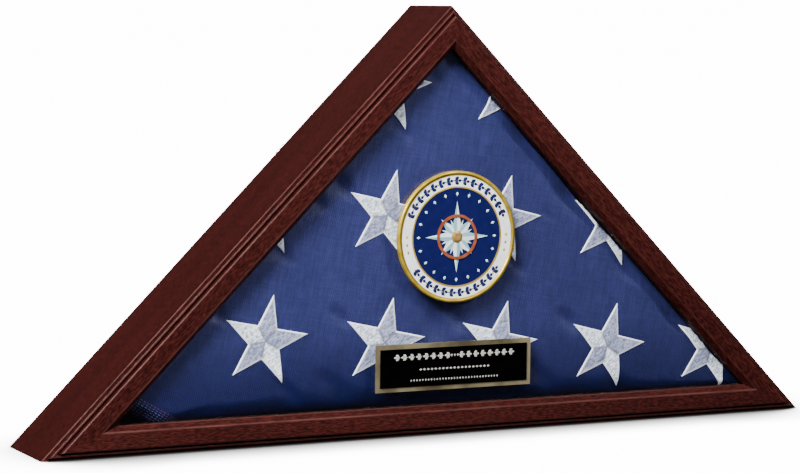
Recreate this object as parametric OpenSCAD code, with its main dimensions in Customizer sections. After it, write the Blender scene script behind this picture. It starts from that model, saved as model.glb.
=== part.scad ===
// Triangular display case for a folded flag.
// Three mitred rails carry the glass in front and a lift-off panel behind, which six turn buttons lock.
// X runs along the base, Y from the front to the back and Z upwards. The origin is on the base's underside,
// in the middle of its width and depth. Depths named in a section are measured back from the front face,
// and insets are measured inwards from the outside of a rail.

/* [Case] */
// Width of the case along its base
case_w = 648; // [560:1:720]
// Height of the case from its base to the apex
case_h = 324; // [290:1:350]
// Depth of the case, front face to back face
case_d = 76; // [72:1:96]
// Thickness of the rails behind the moulding
wall_t = 19; // [17:0.5:22]
// Inset of the sight edge, where the glass starts to show
sight_in = 22.5; // [22:0.5:26]

/* [Moulding] */
// Depth of the moulding's foot, where the plain side begins
foot_d = 6.4; // [6:0.2:8]
// Radius of the plain side's front corner
corner_r = 0.8; // [0.4:0.1:1.2]
// Width of the ledge in front of the plain side
ledge_w = 1.5; // [1.3:0.1:2]
// Width and depth of the fine V groove on the ledge
vee = 0.5; // [0.3:0.1:0.8]
// Radius of the round bead
bead_r = 1.4; // [1:0.1:1.6]
// Depth of the bead's centre
bead_d = 4.6; // [4:0.2:5]
// Width of the groove between the bead and the nosing
quirk_w = 0.6; // [0.4:0.1:1]
// Depth of that groove's floor
quirk_d = 5.4; // [5:0.2:6]
// Radius of the nosing at the front face's outer edge
nose_r = 1.6; // [1:0.1:2.4]
// Width of the bevel that slopes in to the sight edge
bevel_w = 4; // [2:0.5:6]
// Depth of the bevel at the sight edge
bevel_d = 4; // [2:0.5:5]
// Radius of the soft edge between the front face and the bevel
arris_r = 1.2; // [0.4:0.1:2]
// Radius of the back's outer edge
back_r = 0.8; // [0.4:0.1:1.2]

/* [Glass] */
// Depth of the seat that the glass bears on
seat_d = 7; // [6:0.5:8]
// Thickness of the glass
glass_t = 2.5; // [2:0.5:4]
// Clearance round the edge of the glass
glass_clear = 0.4; // [0.2:0.1:0.8]
// Height of the strips that hold the glass, from the rail's wall
strip_h = 3; // [2.5:0.5:5]
// Thickness of those strips, front to back
strip_t = 4; // [3:0.5:4]
// Radius of the brads that pin the strips
brad_r = 0.6; // [0.4:0.1:0.8]
// Length of a brad
brad_len = 12; // [10:1:15]
// Distance between the brads along a strip
brad_pitch = 140; // [100:5:160]

/* [Back panel] */
// Width of the rebate that the panel lies in
rebate_w = 5.5; // [4:0.5:6]
// Depth of that rebate
rebate_d = 5; // [4.8:0.2:7]
// Thickness of the panel
panel_t = 4.5; // [3:0.5:4.5]
// Clearance round the edge of the panel
panel_clear = 0.8; // [0.5:0.1:1.2]
// Thickness of the felt on the panel's inner face
felt_t = 1; // [0.5:0.1:2]
// Clearance round the edge of the felt
felt_clear = 0.5; // [0.3:0.1:1]

/* [Turn buttons] */
// Width of a button
button_w = 9; // [7:0.5:11]
// Distance from a button's pivot to the centre of its round tip
button_reach = 18; // [14:1:22]
// Thickness of a button
button_t = 1.2; // [0.8:0.1:2]
// Radius of the pressed grip dimple near the tip
dimple_r = 1.8; // [1:0.1:2.5]
// Height of that dimple
dimple_h = 0.6; // [0.3:0.1:1]
// Distance between the two buttons of a sloping rail
slope_pitch = 230; // [215:5:250]
// Distance between the two buttons of the base rail
base_pitch = 320; // [240:5:360]

/* [Screws] */
// Radius of a screw's shank
shank_r = 1.25; // [1:0.05:1.6]
// Length of the shank in the wood
shank_len = 12; // [9:1:16]
// Radius of a screw's head
head_r = 2.9; // [2.4:0.1:3.4]
// Height of a screw's head
head_h = 1.6; // [1.2:0.1:2]
// Width of the slots of the cross recess
recess_w = 0.8; // [0.5:0.1:1]

/* [Hangers] */
// Distance from the apex to a ring's pivot, along the rail
hanger_at = 150; // [146:1:160]
// Width of a hanger's strap
strap_w = 8; // [6:0.5:8.5]
// Length of a strap from the pivot
strap_len = 23; // [21:1:25]
// Thickness of a strap's folded plate
strap_t = 1.6; // [1.2:0.1:2]
// Distance from the pivot to the strap's screw
strap_hole = 17.5; // [17:0.5:19]
// Wall of the loop that holds the ring
loop_wall = 0.9; // [0.6:0.1:1.2]
// Radius of the ring's wire
wire_r = 0.9; // [0.7:0.1:1]
// Radius of the ring's round end, to the middle of the wire
bow_r = 5.6; // [5:0.1:5.8]
// Length of the ring's straight legs
leg_len = 6; // [5:0.5:7]

/* [Wall bumpers] */
// Radius of a bumper
bumper_r = 5.5; // [4:0.5:6]
// Thickness of a bumper
bumper_t = 3; // [2:0.5:5]
// Distance from the case's end to a bumper's centre
bumper_at = 52; // [45:1:60]

/* [Corner nails] */
// Length of each leg of a V nail
vnail_leg = 3.4; // [2.5:0.1:4]
// Thickness of a V nail
vnail_t = 0.6; // [0.4:0.1:0.8]
// Depth of a V nail in the wood
vnail_deep = 8; // [6:1:12]
// Inset of the outer V nail at a corner
vnail_in = 4.6; // [4.2:0.1:5]
// Distance between the two V nails of a corner, as an inset
vnail_pitch = 5; // [4.5:0.1:5]

/* [Flag] */
// Inset of the folded flag's outline on its front
flag_front_in = 24; // [22.5:0.5:30]
// Radius of the folded flag's corners
flag_corner_r = 5; // [4:0.5:8]
// Length missing from the folded flag's blunt left tip, along the base
tip_cut = 41; // [30:1:50]
// Slope of that blunt end in degrees
tip_lean = 30; // [20:1:45]
// Distance that both tips draw in, from the front to the back
tip_draw = 16; // [8:1:24]
// Distance from the glass to the flag
flag_gap = 4; // [2:0.5:6]
// Distance from the flag to the felt behind it
felt_gap = 1; // [0.5:0.1:3]
// Distance over which the flag's sloping edges round off
flag_round = 6; // [4:1:12]
// Distance over which its lower front edge rolls under
flag_roll = 16; // [8:1:18]
// Radius of a star, to its points
star_r = 35; // [28:1:40]
// Distance between the stars along a row
star_pitch = 98.2; // [84:0.2:110]
// Distance between the rows of stars
row_pitch = 96.5; // [84:0.5:110]
// Slope of the rows in degrees
row_tilt = -3.5; // [-10:0.5:10]
// Turn of each star in degrees
star_turn = -11; // [-36:1:36]
// Place of the first row's second star, to the right of the middle
star_x = -51; // [-98:0.5:0]
// Height of that star above the base
star_z = 70.5; // [50:0.5:90]
// Thickness of the stars' embroidery
star_t = 0.6; // [0.3:0.1:1]

/* [Medallion] */
// Distance of the medallion and the nameplate right of the middle
plate_x = 5; // [-10:0.5:10]
// Height of the medallion's centre above the base
medal_z = 150; // [140:1:160]
// Radius of the medallion
medal_r = 50; // [40:1:54]
// Width of its plain rim
rim_w = 3.2; // [2:0.2:5]
// Width of its white ring
white_w = 8.6; // [6:0.2:11]
// Width of the wire between the ring and the field
cloison_w = 1.1; // [0.6:0.1:2]
// Thickness of the medallion's back
medal_t = 1.8; // [1.2:0.1:2]
// Thickness of the enamel
enamel_t = 0.7; // [0.4:0.1:0.8]
// Height of the rim over the enamel
rim_h = 0.5; // [0.2:0.1:0.8]
// Radius of the emblem's long points
rose_r = 27; // [18:1:28]
// Radius of the emblem's copper ring, to its middle
hoop_r = 16; // [10:1:17]
// Width of that ring
hoop_w = 2.2; // [1:0.1:3]
// Radius of the gold boss in the middle
boss_r = 4.6; // [3:0.1:6]
// Thickness of each layer of the emblem
relief_t = 0.4; // [0.2:0.1:0.6]

/* [Nameplate] */
// Width of the nameplate
name_w = 133; // [110:1:150]
// Height of the nameplate
name_h = 36; // [28:1:40]
// Height of the nameplate's centre above the base
name_z = 52; // [50:0.5:60]
// Width of the brass border that shows round the black plate
border_w = 3.6; // [2:0.2:6]
// Thickness of the brass plate
brass_t = 1.2; // [0.8:0.1:1.6]
// Thickness of the black plate
black_t = 0.8; // [0.5:0.1:1.2]
// Thickness of the tape behind the nameplate and the medallion
tape_t = 0.8; // [0.5:0.1:1]
// Distance that the tape stays inside the edge of its plate
tape_in = 2.5; // [1:0.5:5]

/* [Hidden] */
$fn = 48;
// Clearance of a screw, brad or nail in its hole
hole_clear = 0.05;
// Clearance of a turn button on its screw, round it and along it
button_clear = 0.15;
// Gap between the back face and a turn button
button_lift = 0.3;
// Clearance of a ring in its loop
loop_clear = 0.1;
// Gap between the panel and the rebate's floor
panel_gap = 0.1;
// Gap between the flag and the wood
flag_rest = 0.3;
// Overshoot of a cut past the face that it opens
over = 1;

slope = atan2(case_h, case_w / 2);
slope_len = norm([case_w / 2, case_h]);
front_y = -case_d / 2;
back_y = case_d / 2;
back_w = wall_t - rebate_w;
nose_in = ledge_w + vee + 2 * bead_r + quirk_w;
glass_back = seat_d + glass_t;
panel_front = case_d - rebate_d + panel_gap;
screw_head_d = case_d + button_lift + button_t + button_clear;
loop_r = wire_r + loop_clear + loop_wall;
ring_reach = leg_len + bow_r + wire_r;
// Angle at which a hanging ring lies on its strap, with a hair's clearance
ring_lift = asin((strap_t + wire_r + hole_clear - loop_r) / (leg_len + bow_r)) + 1;

// The corners of the case's outline moved inwards: left, right and apex.
function outline(inset) = [
    [-case_w / 2 + inset / tan(slope / 2), inset],
    [case_w / 2 - inset / tan(slope / 2), inset],
    [0, case_h - inset / cos(slope)]
];

function arc(centre, r, from, to, steps) = [
    for (i = [0:steps])
        let (t = from + (to - from) * i / steps)
            centre + r * [cos(t), sin(t)]
];

function star(r_out, r_in, points) = [
    for (i = [0:2 * points - 1])
        let (r = i % 2 == 0 ? r_out : r_in, t = 90 + 180 * i / points)
            r * [cos(t), sin(t)]
];

// A flat shape drawn across and up, given a thickness between two depths.
module between(near, far) {
    translate([0, front_y + far, 0])
        rotate([90, 0, 0])
            linear_extrude(far - near)
                children();
}

module triangle_plate(inset, near, far) {
    between(near, far)
        polygon(outline(inset));
}

// Side frames: X runs along the rail from its middle, Y is the depth from the front face, Z the inset.
// The right rail's X points up to the apex, and what is on the left rail is its mirror image.
module on_base() {
    translate([0, front_y, 0])
        children();
}

module on_right() {
    translate([case_w / 4, front_y, case_h / 2])
        rotate([0, slope - 180, 0])
            children();
}

module on_left() {
    mirror([1, 0, 0])
        on_right()
            children();
}

// A strip between two insets and two depths, mitred to its neighbours at both ends.
module mitred(len, start_half, end_half, low, high, near, far) {
    translate([0, far, 0])
        rotate([90, 0, 0])
            linear_extrude(far - near)
                polygon([
                    [-len / 2 + low / tan(start_half), low],
                    [len / 2 - low / tan(end_half), low],
                    [len / 2 - high / tan(end_half), high],
                    [-len / 2 + high / tan(start_half), high]
                ]);
}

module mitred_base(low, high, near, far) {
    mitred(case_w, slope / 2, slope / 2, low, high, near, far);
}

module mitred_slope(low, high, near, far) {
    mitred(slope_len, slope / 2, 90 - slope, low, high, near, far);
}

// The rail's section: depth from the front face across, inset upwards.
bevel_turn = atan2(bevel_d, bevel_w);
rail_section = concat(
    arc([case_d - back_r, back_r], back_r, 360, 270, 4),
    arc([foot_d + corner_r, corner_r], corner_r, 270, 180, 6),
    [
        [foot_d, ledge_w],
        [foot_d + vee, ledge_w + vee / 2],
        [foot_d, ledge_w + vee]
    ],
    arc([bead_d, ledge_w + vee + bead_r], bead_r, 270, 90, 16),
    [
        [quirk_d, nose_in - quirk_w],
        [quirk_d, nose_in]
    ],
    arc([nose_r, nose_in + nose_r], nose_r, 270, 180, 10),
    arc([arris_r, sight_in - bevel_w - arris_r * tan(bevel_turn / 2)], arris_r, 180, 180 - bevel_turn, 6),
    [
        [bevel_d, sight_in],
        [seat_d, sight_in],
        [seat_d, wall_t],
        [case_d - rebate_d, wall_t],
        [case_d - rebate_d, back_w],
        [case_d, back_w]
    ]
);

module rail_bar(len) {
    rotate([90, 0, 90])
        linear_extrude(len, center = true)
            polygon(rail_section);
}

// A V nail stands in the joint at each of two insets, driven in from the back face.
module v_nail() {
    reach = vnail_leg / sqrt(2);
    thick = vnail_t * sqrt(2);
    rotate([90, 0, 0])
        linear_extrude(vnail_deep)
            polygon([
                [0, 0], [reach, reach], [reach + thick, reach],
                [thick, 0], [reach + thick, -reach], [reach, -reach]
            ]);
}

module corner_nails() {
    turns = [slope / 2, 180 - slope / 2, 270];
    color("silver")
        for (k = [0:2], i = [0:1])
            let (p = outline(vnail_in + i * vnail_pitch)[k])
                translate([p[0], back_y, p[1]])
                    rotate([0, -turns[k], 0])
                        v_nail();
}

// What is drilled into a rail, at places along it in its own frame.
module screw_hole(along) {
    translate([along, case_d + over, back_w / 2])
        rotate([90, 0, 0])
            cylinder(r = shank_r + hole_clear, h = shank_len + over);
}

module brad_hole(along) {
    translate([along, glass_back + strip_t / 2, wall_t + strip_h - brad_len - hole_clear])
        cylinder(r = brad_r + hole_clear, h = brad_len + hole_clear + over);
}

module at_brads() {
    for (k = [-1:1])
        translate([k * brad_pitch, 0, 0])
            children();
}

module slope_rail() {
    intersection() {
        rail_bar(slope_len);
        mitred_slope(-over, sight_in + over, -over, case_d + over);
    }
}

module slope_rail_drilled() {
    difference() {
        slope_rail();
        for (along = [-slope_pitch / 2, slope_pitch / 2, strap_screw_along])
            screw_hole(along);
        at_brads()
            brad_hole(0);
    }
}

module left_rail() {
    color("#4a1a15")
        difference() {
            on_left() slope_rail_drilled();
            corner_nails();
        }
}

module right_rail() {
    color("#4a1a15")
        difference() {
            on_right() slope_rail_drilled();
            corner_nails();
        }
}

module base_rail() {
    color("#4a1a15")
        difference() {
            on_base()
                difference() {
                    intersection() {
                        rail_bar(case_w);
                        mitred_base(-over, sight_in + over, -over, case_d + over);
                    }
                    for (along = [-base_pitch / 2, base_pitch / 2])
                        screw_hole(along);
                    at_brads()
                        brad_hole(0);
                }
            corner_nails();
        }
}

// Glass, and the strips that hold it against its seat.
module glass_pane() {
    color("lightcyan", 0.35)
        triangle_plate(wall_t + glass_clear, seat_d, glass_back);
}

module slope_strip() {
    difference() {
        mitred_slope(wall_t, wall_t + strip_h, glass_back, glass_back + strip_t);
        at_brads()
            brad_hole(0);
    }
}

module left_glass_strip() {
    color("#2c100d") on_left() slope_strip();
}

module right_glass_strip() {
    color("#2c100d") on_right() slope_strip();
}

module base_glass_strip() {
    color("#2c100d")
        on_base()
            difference() {
                mitred_base(wall_t, wall_t + strip_h, glass_back, glass_back + strip_t);
                at_brads()
                    brad_hole(0);
            }
}

module brad_row() {
    at_brads()
        translate([0, glass_back + strip_t / 2, wall_t + strip_h - brad_len])
            cylinder(r = brad_r, h = brad_len);
}

module glazing_brads() {
    color("silver") {
        on_base() brad_row();
        on_right() brad_row();
        on_left() brad_row();
    }
}

// The folded flag rests on the base rail, behind the glass, with soft round edges and a blunt left tip.
flag_front = glass_back + flag_gap;
flag_back = panel_front - felt_t - felt_gap;
flag_side_in = wall_t + flag_rest;
// Height at which the flat of the flag's front begins
flag_flat_z = flag_side_in + flag_roll;

// Height of the rolled lower edge over the wood, at a depth behind the flag's front
function roll_in(deep) = flag_roll - sqrt(2 * flag_roll * deep - deep * deep);

// What lies above a line through a tip of the flag, cut back by a length along the base.
module past_tip(cut) {
    translate([cut - outline(flag_side_in)[1][0], flag_side_in])
        rotate(-tip_lean)
            translate([-case_w, 0])
                square([3 * case_w, 2 * case_w]);
}

module flag_outline(inset, draw, base_in) {
    offset(r = flag_corner_r, $fn = 16)
        offset(delta = -flag_corner_r)
            intersection() {
                polygon(outline(inset));
                past_tip(tip_cut + draw);
                mirror([1, 0, 0])
                    past_tip(draw);
                translate([-case_w, base_in])
                    square([2 * case_w, case_h]);
            }
}

module folded_flag() {
    skin = 1;
    color("#22356f")
        hull() {
            between(flag_front, flag_front + skin)
                flag_outline(flag_front_in + flag_round / 2, 0, flag_flat_z);
            between(flag_front + flag_round, flag_front + flag_round + skin)
                flag_outline(flag_side_in, 0, flag_side_in + roll_in(flag_round));
            between(flag_front + flag_roll, flag_front + flag_roll + skin)
                flag_outline(flag_side_in, 0, flag_side_in);
            between(flag_back - flag_round - skin, flag_back - flag_round)
                flag_outline(flag_side_in, tip_draw, flag_side_in);
            between(flag_back - skin, flag_back)
                flag_outline(flag_side_in + flag_round, tip_draw, flag_side_in + flag_round);
        }
}

module flag_stars() {
    golden = (3 - sqrt(5)) / 2;
    margin = star_r * 0.7;
    half_base = outline(flag_front_in)[1][0];
    color("#dfe3ee")
        between(flag_front - star_t, flag_front)
            intersection() {
                flag_outline(flag_front_in + flag_round / 2 + 1, 1, flag_flat_z + 1);
                for (i = [-2:3], j = [0:2])
                    let (
                        p = [star_x, star_z]
                            + i * star_pitch * [cos(row_tilt), sin(row_tilt)]
                            + j * row_pitch * [-sin(row_tilt) / 4, 1],
                        room = (half_base - abs(p[0])) * sin(slope) - (p[1] - flag_front_in) * cos(slope)
                    )
                        if (room > -margin)
                            translate(p)
                                rotate(star_turn)
                                    polygon(star(star_r, star_r * golden, 5));
            }
}

// Back panel with its felt: the one lifts off the case with the other.
module back_panel() {
    color("#3a2a22")
        triangle_plate(back_w + panel_clear, panel_front, panel_front + panel_t);
}

module back_felt() {
    color("#5a5d60")
        triangle_plate(wall_t + felt_clear, panel_front - felt_t, panel_front);
}

// A turn button lies along its rail when it is open, and swings in over the panel to lock it.
module turn_button() {
    difference() {
        union() {
            cylinder(r = button_w / 2, h = button_t);
            translate([0, -button_w / 2, 0])
                cube([button_reach, button_w, button_t]);
            translate([button_reach, 0, 0])
                cylinder(r = button_w / 2, h = button_t);
            translate([button_reach, 0, button_t])
                cylinder(r1 = dimple_r, r2 = dimple_r / 2, h = dimple_h);
        }
        translate([0, 0, -over])
            cylinder(r = shank_r + button_clear, h = button_t + 2 * over);
    }
}

module button_at(along, facing) {
    color("#b9a06a")
        translate([along, case_d + button_lift, back_w / 2])
            rotate([-90, 0, 0])
                rotate([0, 0, facing])
                    turn_button();
}

module turn_button_right_high() { on_right() button_at(slope_pitch / 2, 180); }
module turn_button_right_low() { on_right() button_at(-slope_pitch / 2, 0); }
module turn_button_left_high() { on_left() button_at(slope_pitch / 2, 180); }
module turn_button_left_low() { on_left() button_at(-slope_pitch / 2, 0); }
module turn_button_base_left() { on_base() button_at(-base_pitch / 2, 0); }
module turn_button_base_right() { on_base() button_at(base_pitch / 2, 180); }

// A round-headed screw with its head's underside at a depth, driven in from the back.
module screw(along, under_head) {
    tip = 3;
    straight = under_head - case_d + shank_len - tip - hole_clear;
    translate([along, under_head, back_w / 2])
        rotate([90, 0, 0]) {
            cylinder(r = shank_r, h = straight);
            translate([0, 0, straight])
                cylinder(r1 = shank_r, r2 = shank_r / 4, h = tip);
            difference() {
                translate([0, 0, -head_h])
                    cylinder(r1 = head_r * 0.72, r2 = head_r, h = head_h);
                for (t = [0, 90])
                    rotate([0, 0, t])
                        translate([-head_r * 0.55, -recess_w / 2, -head_h - over])
                            cube([head_r * 1.1, recess_w, over + head_h / 2]);
            }
        }
}

module turn_button_screws() {
    color("#c9b27c") {
        for (along = [-slope_pitch / 2, slope_pitch / 2]) {
            on_right() screw(along, screw_head_d);
            on_left() screw(along, screw_head_d);
        }
        for (along = [-base_pitch / 2, base_pitch / 2])
            on_base() screw(along, screw_head_d);
    }
}

// Hangers: the ring's pivot is up the rail, and its strap runs down from it.
pivot_along = slope_len / 2 - hanger_at;
strap_screw_along = pivot_along - strap_hole;

module on_pivot() {
    translate([pivot_along, case_d + loop_r, back_w / 2])
        children();
}

module hanger_strap() {
    color("silver")
        on_pivot()
            difference() {
                union() {
                    cylinder(r = loop_r, h = strap_w, center = true);
                    translate([-strap_len + strap_w / 2, -loop_r, -strap_w / 2])
                        cube([strap_len - strap_w / 2, strap_t, strap_w]);
                    translate([-strap_len + strap_w / 2, -loop_r, 0])
                        rotate([-90, 0, 0])
                            cylinder(r = strap_w / 2, h = strap_t);
                }
                cylinder(r = wire_r + loop_clear, h = strap_w + 2 * over, center = true);
                translate([-strap_hole, -loop_r - over, 0])
                    rotate([-90, 0, 0])
                        cylinder(r = shank_r + button_clear, h = strap_t + 2 * over);
            }
}

module hanger_ring() {
    color("gainsboro")
        on_pivot()
            rotate([0, 0, -ring_lift]) {
                cylinder(r = wire_r, h = 2 * bow_r, center = true);
                for (side = [-1, 1])
                    translate([0, 0, side * bow_r]) {
                        sphere(r = wire_r);
                        rotate([0, -90, 0])
                            cylinder(r = wire_r, h = leg_len);
                    }
                translate([-leg_len, 0, 0])
                    rotate([-90, 0, 0])
                        rotate([0, 0, 90])
                            rotate_extrude(angle = 180)
                                translate([bow_r, 0])
                                    circle(r = wire_r);
            }
}

module hanger_strap_right() { on_right() hanger_strap(); }
module hanger_strap_left() { on_left() hanger_strap(); }
module hanger_ring_right() { on_right() hanger_ring(); }
module hanger_ring_left() { on_left() hanger_ring(); }

module hanger_screws() {
    color("#c9c9c9") {
        on_right() screw(strap_screw_along, case_d + strap_t);
        on_left() screw(strap_screw_along, case_d + strap_t);
    }
}

module wall_bumpers() {
    color("#303030")
        for (side = [-1, 1])
            translate([side * (case_w / 2 - bumper_at), back_y, back_w / 2])
                rotate([-90, 0, 0])
                    cylinder(r1 = bumper_r, r2 = bumper_r * 0.85, h = bumper_t);
}

// The medallion and the nameplate are taped to the front of the glass.
medal_face_d = seat_d - tape_t - medal_t;
white_out = medal_r - rim_w;
white_in = white_out - white_w;
field_out = white_in - cloison_w;

module on_medal(depth) {
    translate([plate_x, front_y + depth, medal_z])
        rotate([90, 0, 0])
            children();
}

module ring(r_out, r_in, h) {
    difference() {
        cylinder(r = r_out, h = h, $fn = 96);
        translate([0, 0, -over])
            cylinder(r = r_in, h = h + 2 * over, $fn = 96);
    }
}

module medallion_body() {
    color("#c9a227")
        on_medal(seat_d - tape_t) {
            cylinder(r = medal_r, h = medal_t, $fn = 96);
            translate([0, 0, medal_t]) {
                ring(medal_r, white_out, enamel_t + rim_h);
                ring(white_in, field_out, enamel_t + rim_h / 2);
            }
        }
}

module medallion_white_ring() {
    color("#f1efe6")
        on_medal(medal_face_d)
            ring(white_out, white_in, enamel_t);
}

module medallion_blue_field() {
    color("#101a70")
        on_medal(medal_face_d)
            cylinder(r = field_out, h = enamel_t, $fn = 96);
}

module medallion_rose() {
    color("#dfeeee")
        on_medal(medal_face_d - enamel_t)
            linear_extrude(relief_t) {
                polygon(star(rose_r, rose_r * 0.24, 4));
                rotate(45)
                    polygon(star(rose_r * 0.62, rose_r * 0.2, 4));
            }
}

module medallion_hoop() {
    color("#b5592b")
        on_medal(medal_face_d - enamel_t - relief_t)
            ring(hoop_r + hoop_w / 2, hoop_r - hoop_w / 2, relief_t);
}

module medallion_boss() {
    color("#d8b53a")
        on_medal(medal_face_d - enamel_t - relief_t)
            cylinder(r1 = boss_r, r2 = boss_r * 0.6, h = 2 * relief_t);
}

module medallion_tape() {
    color("white")
        on_medal(seat_d)
            cylinder(r = medal_r - tape_in, h = tape_t);
}

module nameplate(margin, near, far) {
    between(near, far)
        translate([plate_x, name_z])
            square([name_w - 2 * margin, name_h - 2 * margin], center = true);
}

module nameplate_border() {
    color("#b89b5e")
        nameplate(0, seat_d - tape_t - brass_t, seat_d - tape_t);
}

module nameplate_black() {
    face = seat_d - tape_t - brass_t;
    color("#0c0a0a")
        nameplate(border_w, face - black_t, face);
}

module nameplate_tape() {
    color("white")
        nameplate(tape_in, seat_d - tape_t, seat_d);
}

left_rail();
right_rail();
base_rail();
corner_nails();
glass_pane();
left_glass_strip();
right_glass_strip();
base_glass_strip();
glazing_brads();
folded_flag();
flag_stars();
back_panel();
back_felt();
turn_button_left_high();
turn_button_left_low();
turn_button_right_high();
turn_button_right_low();
turn_button_base_left();
turn_button_base_right();
turn_button_screws();
hanger_strap_left();
hanger_strap_right();
hanger_ring_left();
hanger_ring_right();
hanger_screws();
wall_bumpers();
medallion_body();
medallion_white_ring();
medallion_blue_field();
medallion_rose();
medallion_hoop();
medallion_boss();
medallion_tape();
nameplate_border();
nameplate_black();
nameplate_tape();
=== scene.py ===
"""A folded flag in its triangular display case, in the order in which such a case is put together."""
import functools
import itertools
import math

import bmesh
import bpy
import numpy as np
from mathutils import Matrix, Vector


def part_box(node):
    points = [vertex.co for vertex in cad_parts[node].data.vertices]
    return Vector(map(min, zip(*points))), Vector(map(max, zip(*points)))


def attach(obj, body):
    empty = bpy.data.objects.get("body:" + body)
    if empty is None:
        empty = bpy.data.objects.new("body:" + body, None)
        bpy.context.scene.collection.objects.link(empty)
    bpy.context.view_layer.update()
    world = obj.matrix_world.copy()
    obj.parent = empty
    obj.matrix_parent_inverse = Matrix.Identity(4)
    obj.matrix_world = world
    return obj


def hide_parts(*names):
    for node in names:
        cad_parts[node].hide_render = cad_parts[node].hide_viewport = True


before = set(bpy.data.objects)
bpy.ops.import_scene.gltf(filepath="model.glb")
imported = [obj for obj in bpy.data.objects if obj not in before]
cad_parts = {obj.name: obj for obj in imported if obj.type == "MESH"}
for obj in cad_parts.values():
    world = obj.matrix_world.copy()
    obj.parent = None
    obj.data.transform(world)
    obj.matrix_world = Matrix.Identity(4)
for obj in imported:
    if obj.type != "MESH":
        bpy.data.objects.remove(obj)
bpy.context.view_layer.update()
scene = bpy.context.scene
MM = 0.001


# ---- Camera ----
# A long lens, left of the middle and level with the apex.
# It is turned a little down towards the case.
camera_at = Vector((-0.9238, -1.7598, 0.3227))
camera_yaw, camera_pitch, camera_roll = (math.radians(a) for a in (27.037, -5.047, 0.678))
lens_mm = 117.08

ahead = Vector((
    math.sin(camera_yaw) * math.cos(camera_pitch),
    math.cos(camera_yaw) * math.cos(camera_pitch),
    math.sin(camera_pitch),
))
level_right = Vector((math.cos(camera_yaw), -math.sin(camera_yaw), 0))
level_up = level_right.cross(ahead)
right = level_right * math.cos(camera_roll) + level_up * math.sin(camera_roll)
up = level_up * math.cos(camera_roll) - level_right * math.sin(camera_roll)


def add_object(name, data):
    made = bpy.data.objects.new(name, data)
    scene.collection.objects.link(made)
    return made


camera_data = bpy.data.cameras.new("camera")
camera_data.lens = lens_mm
camera_data.clip_end = 50
scene.camera = add_object("camera", camera_data)
scene.camera.matrix_world = (
    Matrix.Translation(camera_at) @ Matrix((right, up, -ahead)).transposed().to_4x4()
)


# ---- Floor and light ----
# White paper, bright to the camera but no lamp for the case, and shaded where the case stands near it.
# The main softbox is over the case's left shoulder, with weaker ones low on the right, in front and behind.
floor_half = 12.0
floor_glow, floor_shading, shade_reach = 0.4, 7.2, 0.055
sky_seen, sky_light = 14.5, 0.05
key_at, key_aim, key_size, key_power = Vector((-1.05, -0.87, 1.17)), Vector((0, 0, 0.15)), 0.7, 100


def feed(socket, value):
    """Sets a node's input to a value, or links it to another node's output. Colours come without alpha."""
    if isinstance(value, bpy.types.NodeSocket):
        socket.id_data.links.new(value, socket)
    else:
        socket.default_value = (*value, 1) if socket.type == "RGBA" else value


def add_node(kind, inputs=None, tree=None, **settings):
    """Adds a node, to the tree that its inputs come from where no tree is given."""
    inputs = inputs or {}
    if tree is None:
        tree = next(value.id_data for value in inputs.values() if isinstance(value, bpy.types.NodeSocket))
    made = tree.nodes.new(kind)
    for name, value in settings.items():
        setattr(made, name, value)
    for name, value in inputs.items():
        feed(made.inputs[name], value)
    return made


def node_out(*given, **settings):
    """Adds a node whose first output is the one that is wanted."""
    return add_node(*given, **settings).outputs[0]


def maths(operation, first, second=0.0):
    return node_out("ShaderNodeMath", {0: first, 1: second}, operation=operation)


def times(*values):
    return functools.reduce(functools.partial(maths, "MULTIPLY"), values)


def plus(*values):
    return functools.reduce(functools.partial(maths, "ADD"), values)


def minus(first, second):
    return maths("SUBTRACT", first, second)


def new_material(name, **sockets):
    """A material with one Principled BSDF, whose plain sockets are set here."""
    material = bpy.data.materials.new(name)
    material.use_nodes = True
    tree = material.node_tree
    bsdf = tree.nodes["Principled BSDF"]
    for socket, value in sockets.items():
        feed(bsdf.inputs[socket.replace("_", " ")], value)
    return material, tree, bsdf


def by_ray(rays, first, second, output):
    """Shows the second shader to some kinds of ray and the first to all others."""
    shaders = {0: rays, 1: first.outputs[0], 2: second.outputs[0]}
    feed(output.inputs["Surface"], node_out("ShaderNodeMixShader", shaders))


def mesh_object(name, points, edges=(), faces=()):
    mesh = bpy.data.meshes.new(name)
    mesh.from_pydata(points, edges, faces)
    return add_object(name, mesh)


paper, tree, bsdf = new_material("floor_paper", Base_Color=(0.8, 0.8, 0.8), Roughness=0.9, Specular_IOR_Level=0.0)
nearness = add_node("ShaderNodeAmbientOcclusion", {"Distance": shade_reach}, tree, samples=16).outputs["AO"]
fade = maths("EXPONENT", times(minus(nearness, 0.5), floor_shading))
by_ray(
    add_node("ShaderNodeLightPath", tree=tree).outputs["Is Camera Ray"],
    add_node("ShaderNodeBsdfDiffuse", {"Color": (0.008, 0.008, 0.008)}, tree),
    add_node("ShaderNodeEmission", {"Color": (1, 1, 1), "Strength": times(fade, floor_glow)}),
    tree.nodes["Material Output"],
)
floor_corners = [(x * floor_half, y * floor_half, 0) for x, y in ((-1, -1), (1, -1), (1, 1), (-1, 1))]
floor = mesh_object("floor", floor_corners, faces=[(0, 1, 2, 3)])
floor.data.materials.append(paper)

scene.world = bpy.data.worlds.new("sky")
scene.world.use_nodes = True
tree = scene.world.node_tree
tree.nodes.clear()
by_ray(
    add_node("ShaderNodeLightPath", tree=tree).outputs["Is Camera Ray"],
    add_node("ShaderNodeBackground", {"Color": (0.97, 0.98, 1), "Strength": sky_light}, tree),
    add_node("ShaderNodeBackground", {"Color": (1, 1, 1), "Strength": sky_seen}, tree),
    add_node("ShaderNodeOutputWorld", tree=tree),
)

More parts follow.
